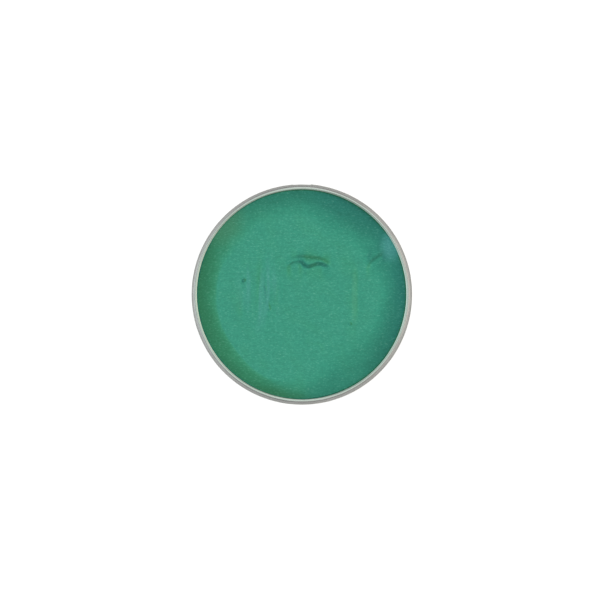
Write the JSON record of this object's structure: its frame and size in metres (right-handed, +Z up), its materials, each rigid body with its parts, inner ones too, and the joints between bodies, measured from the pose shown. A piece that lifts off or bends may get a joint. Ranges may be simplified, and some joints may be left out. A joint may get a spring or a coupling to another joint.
{
  "type": "paint jar",
  "caption": "Open low round aluminium paint jar with a rolled rim, a rolled screw neck and paper labels, filled to the brim with thick pearl green paint.",
  "frame": {"origin": "middle of the foot ring, on the surface that the jar stands on", "axes": "+Z up along the jar's axis, towards the open mouth; front is -Y; the side label's seam is at the back, +Y"},
  "size_m": [0.0502, 0.0501, 0.02],
  "materials": {
    "tin": "drawn and washed, satin",
    "paint": "wet satin with a pearl pigment",
    "label_paper": "matt coated paper"
  },
  "bodies": {
    "root": {"tin_body": "tin", "paint_fill": "paint", "side_label": "label_paper", "base_label": "label_paper"}
  },
  "joints": []
}
